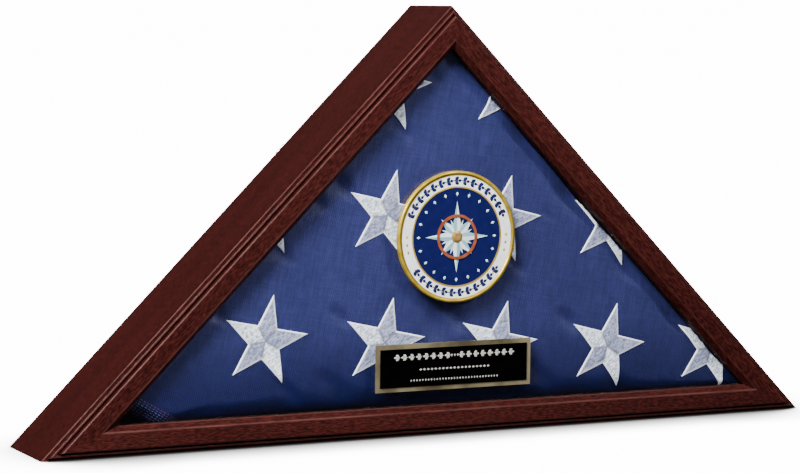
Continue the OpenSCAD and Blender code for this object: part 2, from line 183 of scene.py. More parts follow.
softbox = bpy.data.lights.new("key", "AREA")
softbox.shape = "DISK"
softbox.size, softbox.energy = key_size, key_power
key = add_object("key", softbox)
key.matrix_world = Matrix.Translation(key_at) @ (key_aim - key_at).to_track_quat("-Z", "Y").to_matrix().to_4x4()
key.visible_camera = False
for name, towards, strength, width in (
    ("edge_light", (0.45, -0.75, 0.49), 2.0, 10),
    ("front_fill", (-0.5, -0.8, 0.1), 0.6, 40),
    ("back_light", (0.55, 0.6, 0.58), 4.5, 30),
):
    far_softbox = bpy.data.lights.new(name, "SUN")
    far_softbox.energy, far_softbox.angle = strength, math.radians(width)
    add_object(name, far_softbox).rotation_euler = (-Vector(towards)).to_track_quat("-Z", "Y").to_euler()


# ---- Rails ----
# Three mitred boards of dark stained mahogany, moulded along the front edge and lacquered to a satin.
# The short open pores run along each board, deeper on the flat front than on the smooth outer sides.
case_low, case_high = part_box("base_rail")
case_w = case_high[0] - case_low[0]
case_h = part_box("left_rail")[1][2]
slope = math.atan2(case_h, case_w / 2)
front_y = case_low[1]
# Each edge of the moulding that is painted lighter, as wear and as painted highlight, in millimetres: how far back,
# how far in, and how wide the band is.
rail_edges = (
    (6.6, 0.3, 1.0), (3.3, 3.0, 0.9), (0.5, 5.9, 0.9), (0.3, 18.4, 1.3), (4.0, 22.5, 0.7), (75.6, 0.4, 1.0),
)
middle_tone = 0.42
# The outer sides are painted darker than the front and back faces: painted shade.
side_shade_tint, front_tint = (0.68, 0.36, 0.34), (1.50, 2.05, 2.3)
pore_colour, rubbed_highlight_colour = (0.005, 0.0015, 0.0012), (0.09, 0.032, 0.026)
rail_dark, rail_light = (0.0088, 0.0010, 0.0008), (0.036, 0.0056, 0.0042)
# How strongly each board's edges are painted lighter, partly as rubbed wear and partly as painted highlight: most on
# the lit left rail and the base.
rail_wear_and_highlight = {"base": 0.85, "left": 0.8, "right": 0.3}


def node_group(name, inputs, outputs, kind="ShaderNodeTree"):
    """A node group with its own named sockets, and what comes into it."""
    tree = bpy.data.node_groups.new(name, kind)
    for side, sockets in (("INPUT", inputs), ("OUTPUT", outputs)):
        for label, socket in sockets.items():
            tree.interface.new_socket(label, in_out=side, socket_type="NodeSocket" + socket)
    return tree, tree.nodes.new("NodeGroupInput").outputs


def object_place(tree):
    return add_node("ShaderNodeTexCoord", tree=tree).outputs["Object"]


def vectors(operation, first, second):
    """Maths on two vectors, or on a vector and the number that scales it."""
    inputs = {0: first, "Scale" if operation == "SCALE" else 1: second}
    return node_out("ShaderNodeVectorMath", inputs, operation=operation)


def length(vector):
    return add_node("ShaderNodeVectorMath", {0: vector}, operation="LENGTH").outputs["Value"]


def xyz(*values):
    return node_out("ShaderNodeCombineXYZ", dict(enumerate(values)))


def parts(vector):
    return add_node("ShaderNodeSeparateXYZ", {0: vector}).outputs


def noise(place, scale, detail, **more):
    return node_out("ShaderNodeTexNoise", {"Vector": place, "Scale": scale, "Detail": detail, **more})


def streaks(board, seed, along, across, detail):
    """Noise drawn out along a board: so many spots to a metre along it and across it."""
    inputs = {"Vector": vectors("MULTIPLY", board, (along, across, across)), "W": seed, "Scale": 1.0,
              "Detail": detail, "Roughness": 0.6}
    return node_out("ShaderNodeTexNoise", inputs, noise_dimensions="4D")


def ranged(value, low, high, to_low=0.0, to_high=1.0):
    inputs = {"Value": value, "From Min": low, "From Max": high, "To Min": to_low, "To Max": to_high}
    return node_out("ShaderNodeMapRange", inputs, interpolation_type="SMOOTHSTEP")


def blended(mask, first, second, blend="MIX"):
    """One colour over another, by a mask."""
    return add_node("ShaderNodeMix", {0: mask, 6: first, 7: second}, data_type="RGBA", blend_type=blend).outputs[2]


def tinted(colour, tint):
    return blended(1.0, colour, tint, "MULTIPLY")


def surface(bsdf, colour, height, strength, depth, roughness=None):
    """Gives a material its colour, its roughness, and a bump so many millimetres deep."""
    feed(bsdf.inputs["Base Color"], colour)
    if roughness is not None:
        feed(bsdf.inputs["Roughness"], roughness)
    bump = {"Height": height, "Strength": strength, "Distance": depth * MM}
    feed(bsdf.inputs["Normal"], node_out("ShaderNodeBump", bump))


def grouped(material, bsdf, group, strength, depth, **values):
    """Makes a material of a node group that gives its colour, roughness and height."""
    made = add_node("ShaderNodeGroup", tree=bsdf.id_data, node_tree=group)
    for socket, value in values.items():
        feed(made.inputs[socket], value)
    surface(bsdf, made.outputs["Color"], made.outputs["Height"], strength, depth, made.outputs["Roughness"])
    return material


def dress(name, material):
    """Gives a piece of the case its material."""
    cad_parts[name].material_slots[0].material = material


grain, into = node_group(
    "open_grain",
    {"Board": "Vector", "Seed": "Float", "Wear": "Float", "Dark": "Color", "Light": "Color", "Rubbed": "Color"},
    {"Color": "Color", "Roughness": "Float", "Height": "Float"},
)
board, seed = into["Board"], into["Seed"]
bands = ranged(streaks(board, seed, 4.0, 55.0, 3.0), 0.3, 0.7)
ticks = ranged(streaks(board, seed, 210.0, 1000.0, 3.0), 0.40, 0.63)
pores = ranged(streaks(board, seed, 170.0, 1300.0, 1.0), 0.53, 0.66)
facing = parts(add_node("ShaderNodeTexCoord", tree=grain).outputs["Normal"])["Y"]
open_face = ranged(maths("ABSOLUTE", facing), 0.25, 0.85, 0.45, 1.0)
tone = minus(plus(times(bands, 0.3), times(ticks, 0.7)), middle_tone)
tone = plus(middle_tone, times(tone, maths("MAXIMUM", open_face, 0.85)))
wood_colour = blended(tone, into["Dark"], into["Light"])
# Painted shade: the outer sides are darker than the front and back faces.
wood_colour = tinted(wood_colour, blended(open_face, side_shade_tint, front_tint))
wood_colour = blended(times(pores, open_face, 0.6), wood_colour, pore_colour)
_, depth, inset = parts(board)
edge_mask = 0.0
for edge_depth, edge_inset, reach in rail_edges:
    away = length(xyz(minus(depth, front_y + edge_depth * MM), minus(inset, edge_inset * MM)))
    edge_mask = maths("MAXIMUM", edge_mask, ranged(away, 0.0, reach * MM, 1.0, 0.0))
# The edges are painted lighter, partly as rubbed wear and partly as painted highlight.
rub_and_highlight = times(edge_mask, ranged(streaks(board, seed, 30.0, 200.0, 3.0), 0.3, 0.75, 0.35, 1.0), into["Wear"])
add_node("NodeGroupOutput", {
    "Color": blended(rub_and_highlight, wood_colour, into["Rubbed"]),
    "Roughness": plus(ranged(open_face, 0.45, 1.0, 0.55, 0.36), times(ticks, -0.06)),
    "Height": minus(times(ticks, open_face, 0.8), times(pores, open_face)),
})


def mahogany(name, turn, shift, seed, dark, light, wear_and_highlight):
    """Stained and lacquered wood, with the grain along a board turned by so much in the case's plane."""
    material, tree, bsdf = new_material(name, Specular_IOR_Level=0.06)
    inputs = {"Vector": object_place(tree), "Rotation": (0, turn, 0), "Location": (0, 0, shift)}
    board = node_out("ShaderNodeMapping", inputs)
    return grouped(material, bsdf, grain, 0.7, 0.1, Board=board, Seed=seed, Wear=wear_and_highlight, Dark=dark, Light=light,
                   Rubbed=rubbed_highlight_colour)


outer = case_w / 2 * math.sin(slope)
board_turns = {"base": (0, 0, 1.0), "right": (math.pi - slope, outer, 4.3), "left": (math.pi + slope, outer, 7.9)}
for side, placing in board_turns.items():
    dress(side + "_rail", mahogany("mahogany_" + side, *placing, rail_dark, rail_light, rail_wear_and_highlight[side]))


# ---- Corner nails and glazing brads ----
# Bright zinc-plated V nails driven across each mitre from behind.
# Small brads of the same steel pin the glazing strips.
scratch_density = (300, 300, 6000)
worn_and_reflecting, into = node_group(
    "worn_and_reflecting_metal",
    {"Scale": "Float", "Dark": "Color", "Light": "Color", "Smooth": "Float", "Dull": "Float"},
    {"Color": "Color", "Roughness": "Float", "Height": "Float"},
)
place = object_place(worn_and_reflecting)
cloud = noise(place, into["Scale"], 4.0)
scratches = noise(vectors("MULTIPLY", place, scratch_density), 1.0, 3.0)
# Clouds of tarnish, which on the nameplate's brass are painted reflections.
tarnish_and_reflection = ranged(cloud, 0.35, 0.7)
dull = node_out("ShaderNodeMix", {"Factor": tarnish_and_reflection, "A": into["Dull"], "B": into["Smooth"]})
add_node("NodeGroupOutput", {
    "Color": blended(tarnish_and_reflection, into["Dark"], into["Light"]),
    "Roughness": plus(dull, times(scratches, 0.08)),
    "Height": plus(times(cloud, 0.4), times(scratches, 0.6)),
})


def metal(name, dark, light, smooth, dull, scale=400.0, metallic=1.0):
    """Plated or solid metal, worn in clouds from its dull to its smooth finish; on the nameplate's brass the large
    clouds are painted reflections.
    """
    material, tree, bsdf = new_material(name, Metallic=metallic)
    return grouped(material, bsdf, worn_and_reflecting, 0.5, 0.02, Scale=scale, Dark=dark, Light=light, Smooth=smooth, Dull=dull)


zinc = metal("zinc", (0.36, 0.37, 0.38), (0.62, 0.63, 0.64), 0.28, 0.45)
dress("corner_nails", zinc)
dress("glazing_brads", zinc)


# ---- Glass ----
# One pane of clear float glass, seated behind the rails' lip.
# Light for the flag behind passes through it.
glass, tree, bsdf = new_material(
    "clear_glass", Base_Color=(0.985, 1, 0.995), Roughness=0.0, IOR=1.45, Transmission_Weight=1.0
)
rays = add_node("ShaderNodeLightPath", tree=tree).outputs
through = add_node("ShaderNodeBsdfTransparent", {"Color": (0.97, 0.985, 0.98)}, tree)
by_ray(maths("MAXIMUM", rays["Is Shadow Ray"], rays["Is Diffuse Ray"]), bsdf, through, tree.nodes["Material Output"])
dress("glass_pane", glass)


# ---- Glazing strips ----
# Thin strips of the same wood, stained nearly black.
# They are pinned along the rails and hold the glass against its seat.
strip_dark, strip_light, strip_seed = (0.004, 0.0018, 0.0014), (0.014, 0.006, 0.0045), 20
for side, (turn, shift, seed) in board_turns.items():
    dress(side + "_glass_strip",
          mahogany("dark_strip_" + side, turn, shift, seed + strip_seed, strip_dark, strip_light, 0.0))


# ---- Folded flag ----
# A cotton flag folded to a thick triangle with its star field outside, plump but held flat by its folds.
# Its lower edge rolls under, the sloping edges are folds and the left tip is a blunt, stitched end.
flag_low, flag_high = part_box("folded_flag")
flag_side_in = flag_low[2]
tip_x = case_w / 2 - flag_side_in / math.tan(slope / 2)
tip_cut, tip_lean, tip_draw = 41 * MM, math.radians(30), 16 * MM
flag_start_in, sit_back = -1.5 * MM, 0.6 * MM
slope_round, base_round, tip_round, back_round = 1.5 * MM, 5 * MM, 9 * MM, 8 * MM
front_steps, back_steps = (0, 0.3, 1.2, 3, 6, 10), (0, 0.4, 1.5, 4, 8)
voxel, swell_cap = 4.5 * MM, 2.5 * MM
# The roll of the lower edge, in millimetres: how deep it is, how far it reaches up, and where it fades out.
under_roll, under_reach = 5.5, 8.0
roll_places, roll_shares = (-225, -130, 120, 215), (0.1, 1.0, 1.0, 0.1)


def wall_distances(x, z):
    """How far a point is inside the left and right walls, the base, and the flag's left and right tips."""
    across, along = math.sin(slope), math.cos(slope)
    up = (z - flag_side_in) * math.cos(tip_lean)
    return (
        (case_w / 2 + x) * across - z * along - flag_side_in,
        (case_w / 2 - x) * across - z * along - flag_side_in,
        z - flag_side_in,
        (x + tip_x - tip_cut) * math.sin(tip_lean) + up,
        (tip_x - x) * math.sin(tip_lean) + up,
    )


def flag_ring(insets):
    """The corners of the flag's outline, with each of its five sides moved in by its own inset."""
    ring = [(-case_w, -case_w), (case_w, -case_w), (case_w, case_w), (-case_w, case_w)]
    for side, inset in enumerate(insets):
        kept = []
        for (x0, z0), (x1, z1) in zip(ring, ring[1:] + ring[:1]):
            d0, d1 = wall_distances(x0, z0)[side] - inset, wall_distances(x1, z1)[side] - inset
            if d0 >= 0:
                kept.append((x0, z0))
            if d0 * d1 < 0:
                t = d0 / (d0 - d1)
                kept.append((x0 + (x1 - x0) * t, z0 + (z1 - z0) * t))
        ring = kept
    return ring


def rolled(radius, deep):
    return radius - math.sqrt(max(0.0, 2 * radius * deep - deep * deep)) if deep < radius else 0.0


def flag_block():
    """The flag's block before it swells, as the hull of a stack of outlines from front to back."""
    front, back = flag_low[1] + sit_back, flag_high[1] - sit_back
    shape = bmesh.new()
    for steps, start, way, rounds in (
        (front_steps, front, 1, (slope_round, base_round, tip_round)), (back_steps, back, -1, (back_round,) * 3),
    ):
        for step in steps:
            y = start + way * step * MM
            slope_in, base_in, tip_in = (rolled(radius, step * MM) + flag_start_in for radius in rounds)
            tip_in += tip_draw * (y - front) / (back - front) * math.sin(tip_lean)
            for x, z in flag_ring((slope_in, slope_in, base_in, tip_in, tip_in)):
                shape.verts.new((x, y, z))
    bmesh.ops.convex_hull(shape, input=shape.verts)
    return shape


def shape_object(name, shape, scale=1.0, forward=False):
    """A bmesh as an object, with its faces outwards, or to the front where it is an open sheet."""
    bmesh.ops.recalc_face_normals(shape, faces=shape.faces)
    if forward and sum(face.normal.y * face.calc_area() for face in shape.faces) > 0:
        bmesh.ops.reverse_faces(shape, faces=shape.faces)
    mesh = bpy.data.meshes.new(name)
    shape.to_mesh(mesh)
    shape.free()
    mesh.transform(Matrix.Scale(scale, 4))
    return add_object(name, mesh)


def baked(source, name):
    """The evaluated mesh of an object, as an object without modifiers in its place."""
    graph = bpy.context.evaluated_depsgraph_get()
    mesh = bpy.data.meshes.new_from_object(
        source.evaluated_get(graph), preserve_all_data_layers=True, depsgraph=graph)
    mesh.name = name
    bpy.data.objects.remove(source)
    return add_object(name, mesh)


def hump(away, wide, power=2):
    return np.exp(-((away / wide) ** power))


def fading(inside, reach):
    return np.exp(-np.maximum(0, inside) / reach)


def vert_values(vectors_of, key):
    values = np.empty(len(vectors_of) * 3)
    vectors_of.foreach_get(key, values)
    return values.reshape(-1, 3)


def swell(pad, pressure, frames, cap):
    """Blows a closed cloth up a little, with no gravity, and lets no point move further than the cap."""
    start = vert_values(pad.data.vertices, "co")
    cloth = pad.modifiers.new("swell", "CLOTH")
    for setting, value in (
        ("quality", 5), ("mass", 0.3), ("tension_stiffness", 18), ("compression_stiffness", 18),
        ("bending_stiffness", 0.6), ("use_pressure", True), ("uniform_pressure_force", pressure),
        ("shrink_min", -0.012),
    ):
        setattr(cloth.settings, setting, value)
    cloth.settings.effector_weights.gravity = 0
    cloth.point_cache.frame_start = 1
    cloth.point_cache.frame_end = frames
    for step in range(1, frames + 1):
        scene.frame_set(step)
    swollen = baked(pad, "cotton_flag")
    scene.frame_set(1)
    moved = vert_values(swollen.data.vertices, "co") - start
    far = np.linalg.norm(moved, axis=1, keepdims=True)
    points = start + moved * np.minimum(1.0, cap / np.maximum(far, 1e-9))
    swollen.data.vertices.foreach_set("co", points.ravel())
    return swollen


flag = shape_object("flag_block", flag_block())
remesh = flag.modifiers.new("remesh", "REMESH")
remesh.mode = "VOXEL"
remesh.voxel_size = voxel
flag = baked(flag, "cotton_flag")
flag = swell(flag, pressure=4.0, frames=20, cap=swell_cap)
finer = flag.modifiers.new("finer", "SUBSURF")
finer.levels = finer.render_levels = 1
flag = baked(flag, "cotton_flag")

# Where the stars are, in millimetres. The upper row strays to the right and upwards, more so further right.
star_r, star_pitch, row_pitch, row_tilt = 35.0, 98.2, 96.5, math.radians(-3.5)
first_star, upper_row, leftmost, over_fold = Vector((-51.0, 70.5)), 2, -200, 24 * MM
star_turn, column_turn, row_turn = -12.4, -1.1, -0.6
star_rows = []
for row, column in itertools.product(range(3), range(-2, 4)):
    along = Vector((math.cos(row_tilt), math.sin(row_tilt))) * column * star_pitch
    centre = first_star + along + Vector((-math.sin(row_tilt) / 4, 1)) * row * row_pitch
    if row == upper_row:
        centre += Vector((2.0 + 0.04 * centre.x, 1.35 + 0.027 * centre.x))
    turn = math.radians(star_turn + column_turn * column + row_turn * row)
    if centre.x > leftmost and min(wall_distances(centre.x * MM, centre.y * MM)[:2]) > -over_fold:
        star_rows.append((centre.x, centre.y, turn))


def star_point(star, arm, reach):
    """A place out along one of a star's five arms, counted clockwise from the top one."""
    x, z, turn = star
    angle = math.radians(90 - 72 * arm) + turn
    return Vector((x + reach * math.cos(angle), z + reach * math.sin(angle)))


# Dents that the stitching pulls in the cloth, each with its size and depth: beyond three of each star's arms,
# and between the stars.
dents = [
    (star_point(star, arm, reach), size, depth)
    for arm, reach, size, depth in ((4, 42, 9.0, 4.0), (2, 39, 8.0, 2.8), (1, 41, 7.0, 1.9))
    for star in star_rows
]
dents += [
    (Vector((-93, 41)), 13.0, 3.0), (Vector((-8, 84)), 10.0, 4.0),
    (Vector((150, 40)), 12.0, 2.4), (Vector((82, 42)), 10.0, 3.2),
]
dent_along, dent_across, dent_long, dent_short = 0.77, 0.64, 1.8, 0.75
# How far the right-hand fold falls short of its wall, at heights up that edge.
fold_heights = (0, 108, 121, 140, 153, 180, 215, 250, 270, 280, 300)
fold_gaps = (0.1, 0.1, 0.5, 1.2, 2.2, 2.0, 0.9, 0.1, 0.1, 0.6, 2.0)
flap_x, flap_z, flap_turn, flap_far, flap_step = 40.0, 19, math.radians(62), 95, 9
hem_high, hem_pitch, hem_in, hem_wide = 0.7, 7, 8, 12
layer_high, layer_pitch = 0.35, 5.5
# How clear the flag stays of the glass and the felt, and of the glazing strips, which reach in over its edge.
face_clear, strip_clear, strip_reach = 0.2 * MM, 0.8 * MM, 4.0 * MM

lattice = np.random.default_rng(12).uniform(-1, 1, (32, 32, 32))


def ripple(x, z, seed, size):
    """Smooth humps over the flag, from -1 to 1 and about as wide as the given size."""
    place = np.stack((x / size, np.full_like(x, seed), z / size))
    cell = np.floor(place).astype(int)
    part = place - cell
    part = part * part * (3 - 2 * part)
    total = np.zeros_like(x)
    for corner in itertools.product((0, 1), repeat=3):
        weight = np.prod([part[a] if corner[a] else 1 - part[a] for a in range(3)], axis=0)
        i, j, k = ((cell[a] + corner[a]) % 32 for a in range(3))
        total += weight * lattice[i, j, k]
    return total * 0.7


def hollows(x, z, left):
    """How deep the flag's front lies, in millimetres: broad hollows, creases at the left, dents and stars."""
    deep = 0.3 + 1.3 * ripple(x, z, 3.1, 95) + 0.7 * ripple(x, z, 8.4, 38)
    creases = np.maximum(0, ripple((x - z) * 0.5, (x + z) * 2.2, 5.7, 60))
    deep += 0.9 * creases * fading(left, 40)
    for centre, size, depth in dents:
        across, up = x - centre[0], z - centre[1]
        long, short = dent_along * across - dent_across * up, dent_across * across + dent_along * up
        deep += depth * hump(np.hypot(long / dent_long, short / dent_short), size)
    for star_x, star_z, _ in star_rows:
        deep -= 0.7 * hump(np.hypot(x - star_x, z - star_z), 24, 4)
    return deep


def settle(flag):
    """Gives the swollen flag its soft hollows, folds and puckers, and seats it between the walls."""
    x, y, z = vert_values(flag.data.vertices, "co").T / MM
    nx, ny, nz = vert_values(flag.data.vertex_normals, "vector").T
    left, right, base, tip, _ = (d / MM for d in wall_distances(x * MM, z * MM))
    fronting = np.clip(-ny * 1.6 - 0.2, 0, 1)
    backing = np.clip(ny * 1.6 - 0.2, 0, 1)
    roll = under_roll * fading(base, under_reach) * np.interp(x, roll_places, roll_shares)
    y = y + roll * np.clip(1.2 - (y - flag_low[1] / MM) / 30, 0, 1)
    hem = hem_high * np.sin(tip * math.tau / hem_pitch) * np.maximum(0, 1 - np.abs(tip - hem_in) / hem_wide)
    y = y + fronting * (hollows(x, z, left) - hem)
    flap = (x - flap_x) * math.cos(flap_turn) + (z - flap_z) * math.sin(flap_turn) - flap_far
    layers = sum(1 / (1 + np.exp(-np.clip((flap + flap_step * k) / 0.9, -30, 30))) for k in range(3))
    y -= backing * (1.6 + 1.1 * ripple(x, z, 12.2, 80) - 0.9 * layers + 0.6 * ripple(x, z, 1.3, 26))
    wave = 0.9 * ripple(z, y, 21.0, 22) + 0.5 * ripple(z, y, 4.0, 9)
    gap = np.maximum(0, np.interp(z, fold_heights, fold_gaps) + wave)
    slip = fading(right, 10) * gap / math.sqrt(2)
    layer = layer_high * np.sin(y * math.tau / layer_pitch) * (1 - fronting - backing) * (base > 2)
    x, y, z = (x - slip + nx * layer) * MM, y * MM, (z - slip + nz * layer) * MM
    across, along = math.sin(slope), math.cos(slope)
    for _ in range(2):
        for wall, (out_x, out_z) in enumerate(((-across, along), (across, along), (0, -1))):
            past = np.minimum(0, wall_distances(x, z)[wall])
            x, z = x + past * out_x, z + past * out_z
    in_strip = strip_reach - np.min(wall_distances(x, z)[:3], axis=0)
    y = np.clip(y, flag_low[1] + face_clear + np.clip(in_strip, 0, strip_clear), flag_high[1] - face_clear)
    flag.data.vertices.foreach_set("co", np.stack((x, y, z), axis=1).ravel())
    flag.data.update()


settle(flag)
flag.data.shade_smooth()


def turned_in_plane(place, angle):
    inputs = {"Vector": place, "Angle": angle}
    return node_out("ShaderNodeVectorRotate", inputs, rotation_type="Y_AXIS")


weave, into = node_group(
    "cloth_weave", {"Place": "Vector", "Turn": "Float", "Pitch": "Float"},
    {"Threads": "Float", "Slub": "Float", "Height": "Float"},
)
turned = turned_in_plane(into["Place"], into["Turn"])
drift = add_node("ShaderNodeTexNoise", {"Vector": turned, "Scale": 25.0, "Detail": 2.0}).outputs["Color"]
turned = vectors("ADD", turned, vectors("MULTIPLY", drift, (0.004, 0.004, 0.004)))
across, _, along = parts(vectors("SCALE", turned, maths("DIVIDE", math.tau, into["Pitch"])))
warp, weft = maths("SINE", across), maths("SINE", along)
over = maths("SINE", times(plus(across, along), 0.5))
height = plus(times(warp, 0.5), times(weft, 0.3), times(over, 0.2))
slub = streaks(vectors("MULTIPLY", turned, (1, 0.2, 1)), 2.0, 700.0, 60.0, 2.0)
slub_across = streaks(turned, 5.0, 60.0, 700.0, 2.0)
add_node("NodeGroupOutput", {
    "Threads": plus(times(height, 0.5), 0.5),
    "Slub": plus(times(slub, 0.6), times(slub_across, 0.4)),
    "Height": height,
})

star_blue, tree, bsdf = new_material(
    "flag_cloth", Roughness=0.55, Sheen_Weight=0.04, Sheen_Roughness=0.5, Sheen_Tint=(0.3, 0.4, 0.85),
    Specular_IOR_Level=0.16,
)
place = object_place(tree)
threads = add_node("ShaderNodeGroup", tree=tree, node_tree=weave)
for socket, value in (("Place", place), ("Turn", math.radians(-11)), ("Pitch", 1.5 * MM)):
    feed(threads.inputs[socket], value)
cloud = ranged(noise(place, 22.0, 5.0, Roughness=0.65), 0.3, 0.7)
violet = noise(place, 7.0, 3.0)
colour = blended(cloud, (0.0110, 0.0130, 0.064), (0.0165, 0.0185, 0.083))
colour = blended(ranged(violet, 0.5, 0.75, 0.0, 0.55), colour, (0.017, 0.017, 0.074))
# The cloth is painted much darker towards its bottom: painted shade.
painted_bottom_shade = ranged(plus(parts(place)["Z"], times(violet, 0.03)), 0.040, 0.113)
fleck = ranged(threads.outputs["Slub"], 0.38, 0.64)
for mask, low_tint, high_tint in (
    (painted_bottom_shade, (0.01, 0.08, 0.40), (1.05, 1.04, 1.04)),
    (fleck, (0.74, 0.75, 0.79), (1.22, 1.21, 1.16)),
    (threads.outputs["Threads"], (0.68, 0.68, 0.71), (1.30, 1.30, 1.27)),
):
    colour = tinted(colour, blended(mask, low_tint, high_tint))
surface(bsdf, colour, threads.outputs["Height"], 0.5, 0.15)
flag.data.materials.clear()
flag.data.materials.append(star_blue)
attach(flag, "case")
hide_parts("folded_flag")


# ---- Stars ----
# White five-armed stars embroidered in five fans of thread and sewn on by a raised satin edge.
# They stand in staggered rows on both faces, lie on the cloth and go over its folded edges with it.
star_cells, star_skirt, tuck, stitch_pitch = 14, 0.5, 1.2, 0.75
# What each point of a star knows: its fan, how near it is to the satin edge, its place along the fan's stitches,
# and how near it is to the seam between two fans.
star_marks = "facet", "edge", "stitch", "seam"


def star_corner(number):
    """The star's outline: ten corners, tips and notches in turn, from the top one clockwise."""
    reach = star_r if number % 2 == 0 else star_r * math.cos(math.radians(72)) / math.cos(math.radians(36))
    angle = math.radians(90 - 36 * number)
    return np.array((reach * math.cos(angle), reach * math.sin(angle)))


def from_line(point, start, end):
    along = (end - start) / np.linalg.norm(end - start)
    return abs(along[0] * (point[1] - start[1]) - along[1] * (point[0] - start[0]))


def star_shape():
    """One star in millimetres, lying in the plane y = 0 with its thread standing out towards -y."""
    shape = bmesh.new()
    facet, edge, stitch, seam = (shape.verts.layers.float.new(name) for name in star_marks)
    side = star_cells + 1
    steps = [1 - (1 - i / star_cells) ** 1.5 for i in range(side)]
    for arm in range(5):
        tip, before, after = star_corner(2 * arm), star_corner(2 * arm - 1), star_corner(2 * arm + 1)
        along = tip / np.linalg.norm(tip)
        grid = []
        for u, v in itertools.product(steps, steps):
            place = u * (1 - v) * after + (1 - u) * v * before + u * v * tip
            rim = min(from_line(place, after, tip), from_line(place, before, tip))
            joint = min(from_line(place, np.zeros(2), after), from_line(place, np.zeros(2), before))
            out = 0.45 + 0.5 * (1 - fading(rim, 2.5)) - 0.25 * hump(joint, 0.8) + 0.3 * hump(rim - 0.8, 0.6)
            vert = shape.verts.new((place[0], -out, place[1]))
            vert[facet], vert[edge], vert[stitch], vert[seam] = arm, hump(rim, 1.1, 4), place @ along, hump(joint, 0.7)
            grid.append(vert)
        for i, j in itertools.product(range(star_cells), repeat=2):
            a = i * side + j
            shape.faces.new((grid[a], grid[a + 1], grid[a + side + 1], grid[a + side]))
        for rim_verts in (grid[star_cells * side:], grid[star_cells::side][::-1]):
            for first, second in zip(rim_verts, rim_verts[1:]):
                low = [shape.verts.new((v.co.x * 1.004, star_skirt, v.co.z * 1.004)) for v in (second, first)]
                for made, source in zip(low, (second, first)):
                    made[facet], made[edge], made[stitch] = source[facet], 1.0, source[stitch]
                shape.faces.new((first, second, *low))
    return shape


def geometry_tree(name, **inputs):
    """A Geometry Nodes tree with its own named inputs, besides the geometry."""
    tree, into = node_group(
        name, {"Geometry": "Geometry", **inputs}, {"Geometry": "Geometry"}, "GeometryNodeTree")
    tree.is_modifier = True
    return tree, into


def put_out(geometry, material):
    """Ends a Geometry Nodes tree with its own material on what it has grown."""
    inputs = {"Geometry": geometry, "Material": material}
    add_node("NodeGroupOutput", {"Geometry": node_out("GeometryNodeSetMaterial", inputs)})


def grown(name, base, tree, **values):
    """The mesh that a tree grows from a base, as a plain object."""
    modifier = base.modifiers.new("grow", "NODES")
    modifier.node_group = tree
    for item in tree.interface.items_tree:
        if item.in_out == "INPUT" and item.name in values:
            modifier[item.identifier] = values[item.name]
    made = baked(base, name)
    made.data.shade_smooth()
    return made


def attribute(tree, name, **settings):
    return node_out("GeometryNodeInputNamedAttribute", {"Name": name}, tree, **settings)


def copies(points, piece, rotation, **more):
    """Real copies of an object on points."""
    shape = add_node("GeometryNodeObjectInfo", {"Object": piece}).outputs["Geometry"]
    inputs = {"Points": points, "Instance": shape, "Rotation": rotation, **more}
    placed = node_out("GeometryNodeInstanceOnPoints", inputs)
    return node_out("GeometryNodeRealizeInstances", {"Geometry": placed})


def euler(*angles):
    return node_out("FunctionNodeEulerToRotation", {0: xyz(*angles)})


sewn, into = geometry_tree("sewn_on_cloth", Piece="Object", Cloth="Object", Material="Material")
facing = attribute(sewn, "facing")
real = copies(into["Geometry"], into["Piece"],
              euler(0.0, attribute(sewn, "turn"), times(minus(1.0, facing), math.pi / 2)))
own_x, own_y, own_z = parts(node_out("GeometryNodeInputPosition", tree=sewn))
ray = add_node("GeometryNodeRaycast", {
    "Target Geometry": add_node("GeometryNodeObjectInfo", {"Object": into["Cloth"]}).outputs["Geometry"],
    "Source Position": xyz(own_x, times(facing, -1.0), own_z),
    "Ray Direction": xyz(0.0, facing),
    "Ray Length": 3.0,
    "Attribute": node_out("GeometryNodeInputNormal", tree=sewn),
}, data_type="FLOAT_VECTOR").outputs
out_of_cloth = ray["Attribute"]
sideways, square_on, _ = (maths("ABSOLUTE", part) for part in parts(out_of_cloth))
showing = ranged(sideways, 0.36, 0.50, 1.0, 0.0)
lift = minus(times(own_y, facing, showing, -1.0), times(minus(1.0, showing), tuck * MM))
laid_at = vectors("ADD", ray["Hit Position"], vectors("SCALE", out_of_cloth, lift))
over_edge = maths("MAXIMUM", minus(sideways, 0.66), minus(0.35, square_on))
on_front = node_out("FunctionNodeCompare", {0: over_edge, 1: 0.0}, operation="LESS_THAN")
held = node_out("FunctionNodeBooleanMath", {0: ray["Is Hit"], 1: on_front}, operation="AND")
marked = node_out("GeometryNodeStoreNamedAttribute", {
    "Geometry": real, "Name": "missed",
    "Value": node_out("FunctionNodeBooleanMath", {0: held}, operation="NOT"),
}, data_type="BOOLEAN", domain="POINT")
laid = node_out("GeometryNodeSetPosition", {"Geometry": marked, "Position": laid_at})
missed = attribute(sewn, "missed", data_type="BOOLEAN")
put_out(node_out("GeometryNodeDeleteGeometry", {"Geometry": laid, "Selection": missed}), into["Material"])


def own_mark(tree, name):
    """A piece's own attribute, in its material."""
    return add_node("ShaderNodeAttribute", tree=tree, attribute_name=name).outputs["Fac"]


star_white, tree, bsdf = new_material(
    "star_thread", Roughness=0.5, Sheen_Weight=0.1, Sheen_Roughness=0.4, Specular_IOR_Level=0.25)
place = object_place(tree)
facet, edge, stitch, seam = (own_mark(tree, name) for name in star_marks)
